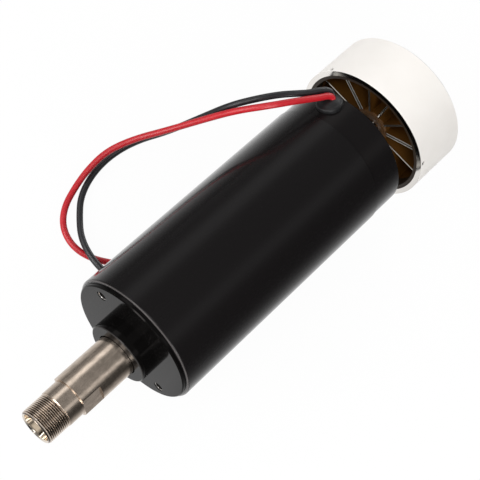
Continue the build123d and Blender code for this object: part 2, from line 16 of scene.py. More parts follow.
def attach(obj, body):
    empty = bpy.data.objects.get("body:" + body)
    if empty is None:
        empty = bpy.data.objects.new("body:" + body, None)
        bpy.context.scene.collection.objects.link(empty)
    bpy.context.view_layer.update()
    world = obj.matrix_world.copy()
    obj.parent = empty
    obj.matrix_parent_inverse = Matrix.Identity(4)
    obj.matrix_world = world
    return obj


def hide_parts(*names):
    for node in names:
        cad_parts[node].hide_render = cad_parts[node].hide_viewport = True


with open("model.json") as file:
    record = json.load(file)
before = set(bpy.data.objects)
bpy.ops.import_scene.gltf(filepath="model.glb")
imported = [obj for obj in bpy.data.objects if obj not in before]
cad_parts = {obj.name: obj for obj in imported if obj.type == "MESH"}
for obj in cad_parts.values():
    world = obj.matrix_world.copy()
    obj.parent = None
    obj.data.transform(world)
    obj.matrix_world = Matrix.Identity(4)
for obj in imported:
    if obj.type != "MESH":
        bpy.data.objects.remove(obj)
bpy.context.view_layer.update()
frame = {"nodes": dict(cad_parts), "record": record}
nodes = frame["nodes"]
NODE_BODY = {node: body for body, members in frame["record"]["behaviour"]["bodies"].items() for node in members}
NODE_SLOT = {entry["node"]: entry["material_slot"] for entry in frame["record"]["subparts"]}
MM = 0.001

# ---------------------------------------------------------------- sizes shared by several pieces, millimetres
TABLE = -28.65

NOSE_TIP = -96.8
THREAD_END = -87.2
NECK_END = -80.9
FLATS_END = -73.0
BOSS_FACE = -59.0
FLANGE_FACE = -52.5
CAN_FRONT = -51.1
RING_FRONT = 73.9
HOOP_FRONT = 74.1
BLADE_FRONT = 79.4
RING_REAR = 97.8

THREAD_RADIUS = 6.95
THREAD_DEPTH = 0.46
NECK_RADIUS = 7.12
ARBOR_RADIUS = 8.0
FLAT_CLOCK = 58.5
FLAT_HALF = 7.0

HOLE_CIRCLE = 20.7
HOLE_CLOCKS = (-61.2, 118.8)
HOLE_RADIUS = 1.65

BLADE_CLOCK = -3.4
BLADE_STEP = 30.0
THICK_BLADE_CLOCK = -63.4
THICK_BLADE_STEP = 120.0
HOOP_BORE = 25.23

BELL_RADIUS = 25.7
GROMMET_CLOCK = -38.0
GROMMET_STATION = 59.2
LEAD_DIAMETER = 2.5


# ---------------------------------------------------------------- node trees written as expressions
class Signal:
    """A number, vector, colour or shader in a node tree. Operators on it add Math nodes to the tree."""

    def __init__(self, tree, socket=None):
        self.tree = tree
        self.socket = socket

    def node(self, kind, settings=None, output=0, **values):
        """Add a node of any type: settings first, then the values or links of its sockets. A socket goes by its
        name with underscores for spaces, or by an underscore and its number."""
        made = self.tree.nodes.new(kind)
        for key, value in (settings or {}).items():
            setattr(made, key, value)
        for key, value in values.items():
            place = int(key[1:]) if key[0] == "_" else key.replace("_", " ")
            if isinstance(value, Signal):
                self.tree.links.new(value.socket, made.inputs[place])
            else:
                made.inputs[place].default_value = value
        return Signal(self.tree, made.outputs[output])

    def parts(self):
        """The x, y and z of this vector."""
        split = self.tree.nodes.new("ShaderNodeSeparateXYZ")
        self.tree.links.new(self.socket, split.inputs[0])
        return [Signal(self.tree, out) for out in split.outputs]

    def surface(self, kind):
        """Feed this shader to the tree's output node."""
        out = self.tree.nodes.new(kind)
        self.tree.links.new(self.socket, out.inputs["Surface"])

    def math(self, operation, first, second=0.0, clamp=False):
        return self.node("ShaderNodeMath", {"operation": operation, "use_clamp": clamp}, _0=first, _1=second)

    def __add__(self, other):
        return self.math("ADD", self, other)

    def __sub__(self, other):
        return self.math("SUBTRACT", self, other)

    def __mul__(self, other):
        return self.math("MULTIPLY", self, other)

    def __truediv__(self, other):
        return self.math("DIVIDE", self, other)

    def __pow__(self, other):
        return self.math("POWER", self, other)

    def __radd__(self, other):
        return self.math("ADD", other, self)

    def __rsub__(self, other):
        return self.math("SUBTRACT", other, self)

    def __neg__(self):
        return self.math("MULTIPLY", self, -1.0)

    def clamped(self):
        return self.math("ADD", self, 0.0, clamp=True)

    def most(self, other):
        return self.math("MAXIMUM", self, other)

    def root(self):
        return self.math("SQRT", self)

    def wave(self):
        return self.math("SINE", self)

    def clock(self, up):
        """Angle in degrees from the direction of up towards the direction of this signal."""
        return self.math("ARCTAN2", self, up) * (180.0 / np.pi)

    def swing(self, middle, step):
        """Sine, never negative, of this angle in degrees off the nearest of middle, middle + step and so on."""
        off = self.math("MODULO", self - (middle - 360.0 - step / 2), step) - step / 2
        return self.math("ABSOLUTE", (off * (np.pi / 180.0)).wave())

    def ramp(self, low, high):
        """0 at low, 1 at high, straight between them and level outside."""
        return ((self - low) / (high - low)).clamped()

    def drop(self, low, high):
        """1 at low, 0 at high, straight between them and level outside."""
        return 1.0 - self.ramp(low, high)

    def band(self, rise, level, fall, end):
        """0 up to rise, 1 from level to fall, 0 from end on, and straight between."""
        return self.ramp(rise, level) * self.drop(fall, end)

    def blend(self, first, second):
        """Colour that is first where this signal is 0 and second where it is 1."""
        first, second = (colour if isinstance(colour, Signal) else (*colour, 1.0) for colour in (first, second))
        return self.node("ShaderNodeMix", {"data_type": "RGBA"}, output=2, Factor=self, _6=first, _7=second)


class Finish:
    """A material being written: its places in millimetres, its noises and its one Principled shader."""

    def __init__(self, name):
        self.material = bpy.data.materials.new(name)
        self.material.use_nodes = True
        self.tree = self.material.node_tree
        self.shader = self.tree.nodes["Principled BSDF"]
        place = Signal(self.tree).node("ShaderNodeTexCoord", output="Object")
        self.place = place.node("ShaderNodeVectorMath", {"operation": "SCALE"}, _0=place, Scale=1 / MM)
        self.x, self.y, self.z = self.place.parts()
        self.radius = (self.x * self.x + self.z * self.z).root()

    def noise(self, size, detail=3.0, stretch=(1, 1, 1), rough=0.5):
        """Cloudy value from 0 to 1 whose patches are about size millimetres, longer where stretch is over 1."""
        scaled = self.place.node(
            "ShaderNodeMapping",
            {"vector_type": "POINT"},
            Vector=self.place,
            Scale=tuple(1 / (size * axis) for axis in stretch),
        )
        return self.place.node("ShaderNodeTexNoise", Vector=scaled, Scale=1.0, Detail=detail, Roughness=rough)

    def lathe_lines(self, width, reach=40.0):
        """Fine rings round the axis, as a turning tool leaves them: noise squeezed along Y, drawn out across it."""
        return self.noise(width, 4.0, (reach, 1.0, reach), 0.6)

    def grazing(self, low, high):
        """0 where the surface is looked at squarely and 1 where it is looked along, for gloss alone."""
        return self.place.node("ShaderNodeLayerWeight", output="Facing", Blend=0.5).ramp(low, high)

    def set(self, **values):
        """Set the shader's sockets by name: numbers stay on the socket, signals are linked."""
        for key, value in values.items():
            socket = self.shader.inputs[key.replace("_", " ")]
            if isinstance(value, Signal):
                self.tree.links.new(value.socket, socket)
            elif isinstance(value, tuple):
                socket.default_value = (*value, 1.0)
            else:
                socket.default_value = value

    def bump(self, height, depth):
        """Raise the surface by height, a signal from 0 to 1, times depth in millimetres; give the material."""
        normal = height.node(
            "ShaderNodeBump", output="Normal", Height=height, Distance=depth * MM, Strength=1.0
        )
        self.tree.links.new(normal.socket, self.shader.inputs["Normal"])
        return self.material


# ---------------------------------------------------------------- finishes
def lacquer():
    """Glossy black lacquer over steel: faint orange peel, a few duller patches, a trace of dust, and a painted
    highlight, a lighter grey painted along the can's front edge. A coat, glossier still, shows where the surface
    is looked along."""
    f = Finish("black_lacquer")
    cloud = f.noise(16.0, 4.0, (1, 2.5, 1))
    peel = f.noise(1.6, 2.0)
    dust = f.noise(0.35, 1.0).ramp(0.72, 0.80)
    # painted highlight: a lighter grey painted along the can's front edge, standing in for the light its rounded
    # edge catches
    painted_edge_highlight = f.y.drop(CAN_FRONT + 0.25, CAN_FRONT + 0.55) * f.radius.ramp(25.3, 25.55) * (cloud * 0.6 + 0.35)
    black = (dust * 0.4).blend((0.0068, 0.0060, 0.0062), (0.02, 0.019, 0.019))
    f.set(
        Base_Color=painted_edge_highlight.blend(black, (0.11, 0.10, 0.097)),
        Roughness=0.24 + cloud * 0.06 + dust * 0.1,
        Specular_IOR_Level=0.12,
        Coat_Weight=f.grazing(0.30, 0.72),
        Coat_Roughness=0.10,
    )
    return f.bump(peel, 0.004)


def anodised():
    """Black anodised bells. The front one is polished almost to a mirror, with concentric tool rings, a dull
    bore, a painted highlight, a lighter grey painted along the boss edge, and bare metal in the mouths of its
    tapped holes. The rear one is as glossy as the can's lacquer."""
    f = Finish("black_anodised")
    rings = f.radius.node(
        "ShaderNodeTexNoise", {"noise_dimensions": "1D"}, W=f.radius * 3.2, Scale=1.0, Detail=4.0
    )
    smear = f.noise(9.0, 3.0)
    rear = f.y.ramp(-1.0, 1.0)
    inside = None
    for clock in HOLE_CLOCKS:
        across = f.x - HOLE_CIRCLE * np.sin(np.radians(clock))
        above = f.z - HOLE_CIRCLE * np.cos(np.radians(clock))
        near = (across * across + above * above).root().drop(HOLE_RADIUS + 0.01, HOLE_RADIUS + 0.25)
        inside = near if inside is None else inside.most(near)
    mouth = inside * f.y.band(FLANGE_FACE + 0.02, FLANGE_FACE + 0.06, -45.0, -40.0)
    # painted highlight: a lighter grey painted along the boss's front edge, standing in for the light the edge
    # catches
    painted_edge_highlight = f.y.drop(BOSS_FACE + 0.1, BOSS_FACE + 0.4) * f.radius.ramp(11.8, 12.0) * (smear * 0.5 + 0.3)
    bore = f.radius.drop(11.0, 11.2) * f.y.ramp(BOSS_FACE + 0.05, BOSS_FACE + 0.15) * (1.0 - rear)
    front = (rings * 0.6).blend((0.0026, 0.0024, 0.0024), (0.0046, 0.0042, 0.0040))
    black = painted_edge_highlight.blend(rear.blend(front, (0.0070, 0.0062, 0.0064)), (0.07, 0.066, 0.063))
    f.set(
        Base_Color=mouth.blend(black, (0.50, 0.48, 0.46)),
        Metallic=mouth,
        Roughness=0.035 + rings * 0.04 + smear * 0.05 + mouth * 0.12 + rear * 0.18 + bore * 0.5,
        Specular_IOR_Level=0.08,
        Specular_Tint=(1.0, 0.93, 0.90),
        Coat_Weight=rear * f.grazing(0.30, 0.72),
        Coat_Roughness=0.10,
    )
    return f.bump(rings * (1.0 - mouth) * (1.0 - rear), 0.0018)


def turned_steel():
    """Turned and ground steel, warm grey: rings from the tool, a fine grain along the bar, a painted highlight on
    the thread crests and painted shade, near black, in the grooves, and a collet socket polished by use."""
    f = Finish("arbor_steel")
    lines = f.lathe_lines(0.22)
    grain = f.noise(0.32, 3.0, (1, 7, 1), 0.6)
    stain = f.noise(1.5, 4.0, (1, 2, 1)).ramp(0.3, 0.7)
    on_thread = f.y.drop(THREAD_END - 1.0, THREAD_END - 0.4)
    # painted highlight: the thread crests are painted brighter than the steel
    crest = f.radius.ramp(THREAD_RADIUS - 0.11, THREAD_RADIUS - 0.02) * on_thread
    # painted shade: the thread grooves are painted near black, for the shade in these hollows
    groove = f.radius.band(6.30, 6.42, THREAD_RADIUS - 0.45, THREAD_RADIUS - 0.29) * on_thread
    socket = f.radius.drop(6.18, 6.24) * f.y.drop(NECK_END - 0.1, NECK_END + 0.9)
    steel = (lines * 0.25 + grain * 0.4 + stain * 0.35).blend((0.29, 0.240, 0.196), (0.86, 0.722, 0.60))
    bright = (crest * 0.8).blend(socket.blend(steel, (0.74, 0.67, 0.58)), (0.95, 0.86, 0.77))
    f.set(
        Base_Color=groove.blend(bright, (0.045, 0.038, 0.032)),
        Metallic=1.0,
        Roughness=0.16 + (lines * 0.10 + grain * 0.05) * (1.0 - socket) - socket * 0.09,
    )
    return f.bump((lines * 0.6 + grain * 0.4) * (1.0 - socket), 0.012)


def metal(name, dark, light, rough, spread=0.12, grain=0.25, reach=40.0):
    """Machined metal: tool rings of width grain round the axis, drawn out reach times, over cloudy patches.
    The roughness keeps within about half the spread of rough."""
    f = Finish(name)
    lines = f.lathe_lines(grain, reach)
    cloud = f.noise(4.0, 4.0)
    f.set(
        Base_Color=(lines * 0.5 + cloud * 0.5).blend(dark, light),
        Metallic=1.0,
        Roughness=rough - spread / 2 + lines * spread * 0.6 + cloud * spread * 0.6,
    )
    return f.bump(lines, 0.01)


def mineral(name, dark, light, rough, grain, depth, stretch=(1, 1, 1), specular=0.5):
    """Non-metal: speckle of the given grain over slow clouds, with the same speckle as its relief."""
    f = Finish(name)
    speckle = f.noise(grain, 3.0, stretch)
    cloud = f.noise(grain * 14, 3.0)
    f.set(
        Base_Color=(speckle * 0.6 + cloud * 0.4).blend(dark, light),
        Roughness=rough - 0.06 + speckle * 0.08 + cloud * 0.06,
        Specular_IOR_Level=specular,
    )
    return f.bump(speckle, depth)


def laminations():
    """Stack of half-millimetre silicon steel sheets: a dark line at every joint, sheets slightly unlike."""
    f = Finish("laminations")
    sheet_thickness = 0.5
    joint = ((f.y * (2 * np.pi / sheet_thickness)).wave() * 0.5 + 0.5) ** 6.0
    sheet = f.lathe_lines(sheet_thickness)
    f.set(
        Base_Color=joint.blend(sheet.blend((0.10, 0.10, 0.11), (0.26, 0.26, 0.27)), (0.02, 0.02, 0.02)),
        Metallic=0.8,
        Roughness=0.42 + sheet * 0.15,
    )
    return f.bump(1.0 - joint, 0.08)


def winding():
    """Enamelled copper wire under varnish: round wires side by side, wavy where they cross."""
    f = Finish("copper_winding")
    sway = f.noise(6.0, 2.0) * 5.0
    wires = ((f.radius * 2.6 + f.y * 1.4 + sway) * 3.0).wave() * 0.5 + 0.5
    varnish = f.noise(2.5, 3.0)
    f.set(
        Base_Color=(wires * 0.6 + varnish * 0.4).blend((0.11, 0.025, 0.008), (0.52, 0.17, 0.06)),
        Metallic=0.55,
        Roughness=0.22 + varnish * 0.2,
        Coat_Weight=0.4,
    )
    return f.bump(wires, 0.25)


def amber_fan():
    """Amber anodised aluminium, with painted shade on the blades' front edges and the hoop lip, which are painted
    near black, and thin pale lines along the blades. A blade's edge is a front face between hub and hoop, at a
    distance |r sin d| from the blade's middle, d being the angle off its clock: a thin blade is bare metal along
    its middle, and a thick one carries painted highlights, pale lines along both its borders."""
    f = Finish("amber_anodised")
    cloud = f.noise(5.0, 3.0)
    lines = f.lathe_lines(0.4)
    clock = f.x.clock(f.z)
    off = f.radius * clock.swing(BLADE_CLOCK, BLADE_STEP)
    thick = (f.radius * clock.swing(THICK_BLADE_CLOCK, THICK_BLADE_STEP)).drop(0.90, 0.94)
    middle = off.drop(0.22, 0.32)
    # painted highlight: two pale lines along each thick blade's borders stand in for the light its bevelled edges
    # catch
    border_highlights = off.band(0.46, 0.54, 0.74, 0.82)
    past_hub = f.radius.ramp(7.9, 8.1)
    on_hoop = f.radius.ramp(HOOP_BORE - 0.13, HOOP_BORE - 0.01)
    edge = f.y.drop(BLADE_FRONT + 0.02, BLADE_FRONT + 0.12)
    # bare metal along the thin blades' middles, and the painted highlight lines on the thick blades
    bare = edge * (1.0 - on_hoop) * past_hub * (thick * border_highlights + (1.0 - thick) * middle)
    # painted shade and painted reflection: the blades' front edges and the hoop lip are painted near black,
    # standing in for the shade inside the hoop and the dark can mirrored there
    shade = (edge * past_hub).most(on_hoop * f.y.drop(HOOP_FRONT + 0.2, HOOP_FRONT + 0.9))
    amber = (cloud * 0.6 + lines * 0.4).blend((0.088, 0.032, 0.0017), (0.160, 0.064, 0.0045))
    amber_with_painted_shade = (shade * 0.92).blend(amber, (0.010, 0.006, 0.003))
    f.set(
        Base_Color=bare.blend(amber_with_painted_shade, thick.blend((0.42, 0.39, 0.35), (0.90, 0.87, 0.82))),
        Metallic=0.15 + bare * (0.8 - thick * 0.75),
        Roughness=0.50 + cloud * 0.08 - bare * 0.40,
    )
    return f.bump(lines, 0.01)


def bright_ring():
    """Pale satin ring: very fine rings from the lathe and soft smudges, a polished front face and painted shade
    along the rear rim, a thin grey line."""
    f = Finish("bright_aluminium")
    lines = f.lathe_lines(0.12, 60.0)
    smudge = f.noise(7.0, 4.0)
    faced = f.y.drop(RING_FRONT + 0.02, RING_FRONT + 0.08)
    # painted shade: the rear rim is painted grey, for the shade on its small bevel
    rim = f.y.ramp(RING_REAR - 0.48, RING_REAR - 0.44)
    satin = (lines * 0.4 + smudge * 0.6).blend((0.85, 0.815, 0.77), (0.925, 0.895, 0.86))
    f.set(
        Base_Color=(rim * 0.9).blend(satin, (0.30, 0.295, 0.29)),
        Metallic=faced * 0.95 + 0.05,
        Roughness=0.42 + lines * 0.08 + smudge * 0.05 - faced * 0.36,
    )
    return f.bump(lines * (1.0 - faced), 0.006)


def insulation(name, dark, light):
    """Flexible lead insulation: faint extrusion marks, small scuffs and a soft gloss."""
    f = Finish(name)
    marks = f.noise(0.8, 3.0)
    scuff = f.noise(6.0, 4.0).ramp(0.55, 0.75)
    f.set(
        Base_Color=(marks * 0.6 + scuff * 0.4).blend(dark, light),
        Roughness=0.34 + scuff * 0.12 + marks * 0.05,
        Specular_IOR_Level=0.5,
    )
    return f.bump(marks, 0.02)


# name: dark colour, light colour, roughness, then spread, grain and reach where they aren't the usual ones
METALS = {
    "zinc_steel": ((0.46, 0.46, 0.44), (0.72, 0.72, 0.70), 0.28),
    "bearing_steel": ((0.58, 0.58, 0.58), (0.74, 0.74, 0.74), 0.14, 0.06),
    "spring_steel": ((0.24, 0.23, 0.22), (0.42, 0.41, 0.40), 0.30),
    "cage_brass": ((0.56, 0.36, 0.11), (0.78, 0.56, 0.24), 0.24),
    "holder_brass": ((0.58, 0.38, 0.12), (0.80, 0.60, 0.26), 0.30, 0.14, 0.5, 1.0),
    "commutator_copper": ((0.55, 0.20, 0.08), (0.80, 0.40, 0.22), 0.22),
    "tinned_copper": ((0.52, 0.49, 0.45), (0.80, 0.77, 0.72), 0.30, 0.12, 0.3, 1.0),
    "black_steel": ((0.018, 0.018, 0.020), (0.045, 0.045, 0.05), 0.34),
}

# name: dark colour, light colour, roughness, grain, depth of relief, then stretch and specular level
MINERALS = {
    "magnet": ((0.022, 0.022, 0.024), (0.06, 0.06, 0.064), 0.62, 0.5, 0.03),
    "insulator": ((0.13, 0.055, 0.018), (0.34, 0.17, 0.06), 0.46, 0.9, 0.02, (6, 1, 1)),
    "carbon": ((0.012, 0.012, 0.013), (0.045, 0.045, 0.048), 0.55, 0.15, 0.01),
    "black_rubber": ((0.005, 0.005, 0.0054), (0.012, 0.012, 0.013), 0.46, 0.5, 0.012, (1, 1, 1), 0.3),
}

FINISHES = {
    "black_lacquer": lacquer(),
    "black_anodised": anodised(),
    "arbor_steel": turned_steel(),
    **{name: metal(name, *look) for name, look in METALS.items()},
    **{name: mineral(name, *look) for name, look in MINERALS.items()},
    "laminations": laminations(),
    "copper_winding": winding(),
    "amber_anodised": amber_fan(),
    "bright_aluminium": bright_ring(),
    "red_insulation": insulation("red_insulation", (0.42, 0.006, 0.012), (0.56, 0.014, 0.024)),
    "black_insulation": insulation("black_insulation", (0.009, 0.009, 0.0105), (0.022, 0.022, 0.025)),
}


# ---------------------------------------------------------------- meshes from grids of points
def outline(*points):
    """Profile of (radius, station) corners as an array."""
    return np.array(points, float)


def angles(count):
    """Evenly spaced clock angles once round, in radians, with the first repeated at the end."""
    return np.linspace(0.0, 2 * np.pi, count + 1)


def turned(profile, count):
    """Grid of a solid of revolution: point (i, j) is (r_i sin a_j, y_i, r_i cos a_j)."""
    a = angles(count)
    r, y = profile[:, :1], profile[:, 1:2]
    return np.stack([r * np.sin(a), y + 0 * a, r * np.cos(a)], axis=-1)


def joined(grids):
    """Vertices and quads of several grids, each quad (i, j), (i+1, j), (i+1, j+1), (i, j+1)."""
    points, faces, start = [], [], 0
    for grid in grids:
        rows, columns = grid.shape[:2]
        index = start + np.arange(rows * columns).reshape(rows, columns)
        quads = np.stack([index[:-1, :-1], index[1:, :-1], index[1:, 1:], index[:-1, 1:]], axis=-1)
        points.append(grid.reshape(-1, 3))
        faces.append(quads.reshape(-1, 4))
        start += rows * columns
    return np.concatenate(points), np.concatenate(faces)


def tidy_mesh(mesh, sharp, merge, turn_out):
    """Merge points closer than merge metres, turn the faces outwards if asked, smooth all but the sharp edges."""
    work = bmesh.new()
    work.from_mesh(mesh)
    bmesh.ops.remove_doubles(work, verts=work.verts, dist=merge)
    if turn_out:
        bmesh.ops.dissolve_degenerate(work, edges=work.edges, dist=merge)
        bmesh.ops.recalc_face_normals(work, faces=work.faces)
    work.to_mesh(mesh)
    work.free()
    mesh.shade_smooth()
    mesh.set_sharp_from_angle(angle=np.radians(sharp))


def place_piece(name, data, finish, body, replaced):
    """Put a mesh or curve in the scene as one piece: finished, riding on its body, standing for its nodes."""
    made = bpy.data.objects.new(name, data)
    bpy.context.scene.collection.objects.link(made)
    data.materials.append(FINISHES[finish])
    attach(made, body)
    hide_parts(*replaced)
    return made


def piece(name, grids, finish, body, replaced, sharp):
    """Make one piece of the grids, with edges over sharp degrees kept crisp."""
    points, faces = joined(grids)
    mesh = bpy.data.meshes.new(name)
    mesh.from_pydata((points * MM).tolist(), [], faces.tolist())
    tidy_mesh(mesh, sharp, 2e-6, True)
    return place_piece(name, mesh, finish, body, replaced)


# ---------------------------------------------------------------- camera, lamps and floor
def look(place, right, up, back, lens):
    """Camera at a place in millimetres whose three axes are given by their directions."""
    camera = bpy.data.objects.new("camera", bpy.data.cameras.new("camera"))
    camera.data.lens = lens
    camera.data.sensor_width = 36.0
    camera.data.clip_start = 0.02
    camera.data.clip_end = 10.0
    turn = Matrix((right, up, back)).transposed().to_4x4()
    camera.matrix_world = Matrix.Translation(Vector(place) * MM) @ turn
    bpy.context.scene.collection.objects.link(camera)
    bpy.context.scene.camera = camera


def softbox(name, place, aim, width, height, power):
    """Rectangular lamp at a place, facing a point; millimetres and watts."""
    lamp = bpy.data.objects.new(name, bpy.data.lights.new(name, "AREA"))
    lamp.data.shape = "RECTANGLE"
    lamp.data.size = width * MM
    lamp.data.size_y = height * MM
    lamp.data.energy = power
    way = Vector(aim) - Vector(place)
    lamp.rotation_euler = way.to_track_quat("-Z", "Y").to_euler()
    lamp.location = Vector(place) * MM
    bpy.context.scene.collection.objects.link(lamp)


def emptied(owner):
    """Node tree of a world or material, with nothing in it."""
    owner.use_nodes = True
    owner.node_tree.nodes.clear()
    return owner.node_tree


def ray_kinds(tree, *kinds):
    """For each kind of ray named, a signal that is 1 for such a ray and 0 for any other."""
    rays = tree.nodes.new("ShaderNodeLightPath")
    return [Signal(tree, rays.outputs[f"Is {kind} Ray"]) for kind in kinds]


def studio():
    """Pale surroundings: plain white to the camera, and for light and reflections a dim room that darkens
    towards +X. Two bright strips run overhead along the spindle, a wide one on its left and a slim one on its
    right, and a softer patch stands ahead of the nose. Strips are placed by turn, the angle round the spindle
    from straight up towards +X, in degrees."""
    world = bpy.data.worlds.new("studio")
    bpy.context.scene.world = world
    tree = emptied(world)
    across, along, height = Signal(tree).node("ShaderNodeTexCoord", output="Generated").parts()
    (seen,) = ray_kinds(tree, "Camera")
    turn = across.clock(height)
    ahead = -along
    wide = turn.band(-68.0, -60.0, -46.0, -38.0)
    slim = turn.band(24.0, 29.0, 41.0, 47.0)
    patch = ahead.band(0.35, 0.5, 0.75, 0.85) * height.ramp(0.05, 0.2)
    room = 0.30 - turn.ramp(36.0, 60.0) * 0.25
    light = room + wide * 1.15 + slim * 0.6 + patch * 0.6
    shade = seen.node("ShaderNodeBackground", Color=(1.0, 1.0, 1.0, 1.0), Strength=seen.most(light))
    shade.surface("ShaderNodeOutputWorld")


def floor():
    """Pale level floor that takes the shadow of the spindle. The camera sees it white. In reflections it is
    white under the spindle and falls off beside it as 1 / (1 + d^1.2), d being the distance past 20 mm from
    the axis over 30 mm on the right and over 80 mm on the left."""
    reach = 3000.0
    corners = [(-reach, -reach), (reach, -reach), (reach, reach), (-reach, reach)]
    mesh = bpy.data.meshes.new("floor")
    mesh.from_pydata([(x * MM, y * MM, TABLE * MM) for x, y in corners], [], [(0, 1, 2, 3)])
    made = bpy.data.objects.new("floor", mesh)
    bpy.context.scene.collection.objects.link(made)
    material = bpy.data.materials.new("pale_floor")
    tree = emptied(material)
    seen, glossy, through = ray_kinds(tree, "Camera", "Glossy", "Transmission")
    x = seen.node("ShaderNodeTexCoord", output="Object").parts()[0] * (1 / MM)
    away = (x - 20.0).most(0.0) / 30.0 + (-20.0 - x).most(0.0) / 80.0
    fall = (1.0 + away**1.2) ** -1.0
    paint = seen.node("ShaderNodeBsdfDiffuse", Color=(0.86, 0.86, 0.86, 1.0))
    glow = seen.node("ShaderNodeEmission", Color=(1.0, 1.0, 1.0, 1.0), Strength=seen.most(fall))
    both = seen.node("ShaderNodeMixShader", _0=seen.most(glossy).most(through) * 0.96, _1=paint, _2=glow)
    both.surface("ShaderNodeOutputMaterial")
    mesh.materials.append(material)


look(
    (0.0, -191.42, 410.15),
    (0.67054, 0.66992, 0.31874),
    (-0.74188, 0.60428, 0.29064),
    (0.00210, -0.43134, 0.90220),
    93.72,
)
studio()
floor()
softbox("front_box", (-260, -620, 330), (0, -20, 0), 420, 300, 2.5)
softbox("side_box", (470, -380, 260), (0, 0, 0), 260, 300, 2.4)
softbox("back_box", (-120, 640, 260), (0, 60, 0), 420, 220, 1.2)
softbox("top_box", (-60, -230, 520), (0, 0, 0), 260, 260, 0.6)


# ---------------------------------------------------------------- leads, from the grommet to the free end
RED_ROUTE = [
    (-11.160, 58.30, 16.026), (-15.9, 60.6, 21.9), (-18.0, 60.2, 23.4), (-19.9, 55.8, 23.8), (-21.9, 52.0, 24.2),
    (-25.7, 44.6, 24.6), (-29.9, 37.4, 23.4), (-36.7, 30.3, 16.0), (-42.8, 24.0, 5.0), (-49.3, 15.9, -6.0),
    (-55.9, 7.2, -15.0), (-59.5, -1.7, -21.0), (-59.1, -10.6, -24.8), (-57.2, -18.5, -27.1), (-54.0, -27.0, -27.4),
    (-48.6, -32.9, -27.4), (-41.0, -35.0, -27.4), (-33.3, -33.0, -27.4), (-25.5, -27.0, -27.4),
    (-18.5, -20.0, -27.4), (-14.4, -9.5, -27.4), (-13.3, 4.0, -27.4), (-12.4, 20.0, -27.4), (-13.2, 36.0, -27.4),
    (-12.6, 52.0, -27.4),
]
BLACK_ROUTE = [
    (-12.851, 60.10, 14.706), (-16.9, 62.0, 20.9), (-19.6, 62.0, 22.6), (-22.0, 58.4, 22.8), (-23.8, 54.6, 22.6),
    (-26.2, 51.4, 22.0), (-30.4, 46.2, 20.5), (-34.6, 38.6, 19.6), (-39.6, 31.5, 14.0), (-44.1, 26.4, 1.5),
    (-49.5, 18.3, -11.5), (-55.4, 10.4, -20.5), (-58.0, 1.0, -26.1), (-57.1, -9.5, -27.4), (-53.3, -19.2, -27.4),
    (-47.3, -25.4, -27.4), (-41.2, -30.6, -26.1), (-33.5, -33.5, -24.35), (-25.5, -33.6, -24.4),
    (-16.5, -31.2, -26.3), (-9.8, -24.5, -27.4), (-8.2, -13.0, -27.4), (-9.0, 2.0, -27.4), (-8.0, 18.0, -27.4),
    (-8.9, 34.0, -27.4), (-8.1, 50.0, -27.4),
]
WIRE_RADIUS = 0.23
STRAND_CIRCLE = 0.46
STRAND_LEAD = 11.0
BARE_LENGTH = 7.0


def strands(colour, route):
    """Bared end of a lead: one straight wire and six round it, each centre line a helix (c cos k, c sin k) off
    the axis, and each wire a tube about its line. The wires are cut at four slightly different lengths."""
    start, before = np.array(route[-1]), np.array(route[-2])
    along = (start - before) / np.linalg.norm(start - before)
    side = np.cross(along, (0.0, 0.0, 1.0))
    side /= np.linalg.norm(side)
    up = np.cross(side, along)
    a = angles(10)[None, :, None]
    ring = np.cos(a) * side + np.sin(a) * up
    grids = []
    for wire in range(7):
        length = BARE_LENGTH - 0.35 * ((wire * 3) % 4)
        t = np.linspace(-0.6, length, 28)[:, None]
        offset = 0.0 if wire == 0 else STRAND_CIRCLE
        k = 2 * np.pi * (wire / 6.0 + t / STRAND_LEAD)
        line = start + along * t + offset * (np.cos(k) * side + np.sin(k) * up)
        tube = line[:, None, :] + WIRE_RADIUS * ring
        ends = [np.repeat(line[i][None, None, :], 11, axis=1) for i in (0, -1)]
        grids.append(np.concatenate([ends[0], tube, ends[1]], axis=0))
    return piece(f"{colour}_strands", grids, "tinned_copper", "housing", (f"{colour}_bare_end",), 28.0)


def lead(colour, route):
    """One insulated lead on its route as a smooth NURBS line, with the bared strands of its free end."""
    curve = bpy.data.curves.new(f"{colour}_lead_wire", "CURVE")
    curve.dimensions = "3D"
    spline = curve.splines.new("NURBS")
    spline.points.add(len(route) - 1)
    points = np.column_stack([np.array(route) * MM, np.ones(len(route))])
    spline.points.foreach_set("co", points.ravel())
    spline.order_u = 3
    spline.use_endpoint_u = True
    spline.resolution_u = 14
    curve.bevel_depth = LEAD_DIAMETER / 2 * MM
    curve.bevel_resolution = 6
    curve.use_fill_caps = True
    made = place_piece(curve.name, curve, f"{colour}_insulation", "housing", (f"{colour}_lead",))
    end = strands(colour, route)


lead("red", RED_ROUTE)
lead("black", BLACK_ROUTE)


# ---------------------------------------------------------------- turned and threaded pieces
def threaded(start, end, crest, depth, pitch, count, lead_in=0.7, run_out=0.6):
    """Grid of a right-hand thread. Rows follow the helix y = start + pitch (u + a / 2 pi), held between the
    two ends; the groove is a sixty degree V with a narrow flat at its crest and root. The front end tapers
    over lead_in, and the groove fades to nothing over run_out at the back."""
    a = angles(count)[None, :]
    turn = np.array([0.0, 0.05, 0.25, 0.45, 0.55, 0.75, 0.95])
    u = (np.arange(-1, int((end - start) / pitch) + 2)[:, None] + turn[None, :]).reshape(-1, 1)
    y = np.clip(start + pitch * (u + a / (2 * np.pi)), start, end)
    phase = np.mod(u, 1.0)
    groove = np.clip(1.22 * (1.0 - np.abs(2 * phase - 1.0)) - 0.11, 0.0, 1.0)
    fade = np.clip((end - y) / run_out, 0.0, 1.0)
    r = crest - depth * groove * fade
    r = np.minimum(r, crest - lead_in + (y - start))
    return np.stack([r * np.sin(a), y, r * np.cos(a)], axis=-1)


